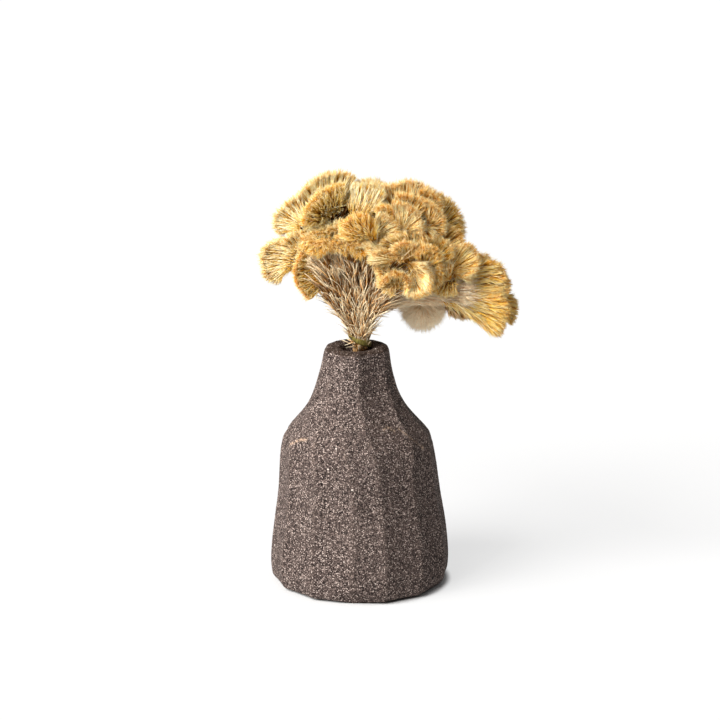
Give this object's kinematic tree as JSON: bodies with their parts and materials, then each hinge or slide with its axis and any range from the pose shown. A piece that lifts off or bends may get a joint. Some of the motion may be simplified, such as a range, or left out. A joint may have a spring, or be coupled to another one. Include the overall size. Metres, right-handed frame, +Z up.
{
  "type": "faceted stoneware bud vase with a dried flower",
  "caption": "Matte speckled stoneware bottle vase with soft vertical facets and a narrow neck, holding a lift-out dried cockscomb flower head on one stalk.",
  "frame": {"origin": "centre of the vase's flat foot, on the table", "axes": "+Z up along the vase and the stalk; the front of the flower faces -Y; the flower's long arm reaches towards +X"},
  "size_m": [0.1268, 0.0886, 0.2079],
  "materials": {
    "stoneware": "matte",
    "stalk": "matte",
    "twig": "matte",
    "dry_leaf": "matte",
    "pale_bristle": "matte",
    "golden_crest": "matte",
    "deep_bristle": "matte"
  },
  "bodies": {
    "vase": {"vase_body": "stoneware"},
    "flower": {"main_stalk": "stalk", "left_stalk": "stalk", "right_stalk": "twig", "throat_leaf": "dry_leaf", "trunk_bristles": "pale_bristle", "crest_plate": "deep_bristle", "crown_funnel": "golden_crest", "crown_centre_fan": "golden_crest", "crown_right_fan": "golden_crest", "right_shoulder_fold": "golden_crest", "left_upper_fan": "golden_crest", "left_lower_fan": "golden_crest", "left_curl": "golden_crest", "front_hump": "golden_crest", "front_crests": "golden_crest", "right_fan": "golden_crest", "right_tuft": "pale_bristle", "right_tag": "pale_bristle", "back_left_fan": "golden_crest", "back_centre_fan": "golden_crest", "back_right_fan": "golden_crest", "back_low_left_fan": "pale_bristle", "back_low_right_fan": "pale_bristle"}
  },
  "joints": [
    {"name": "flower_lift", "type": "slide", "parent": "vase", "child": "flower", "axis": [0, 0, 1], "range_m": [0, 0.125]}
  ]
}
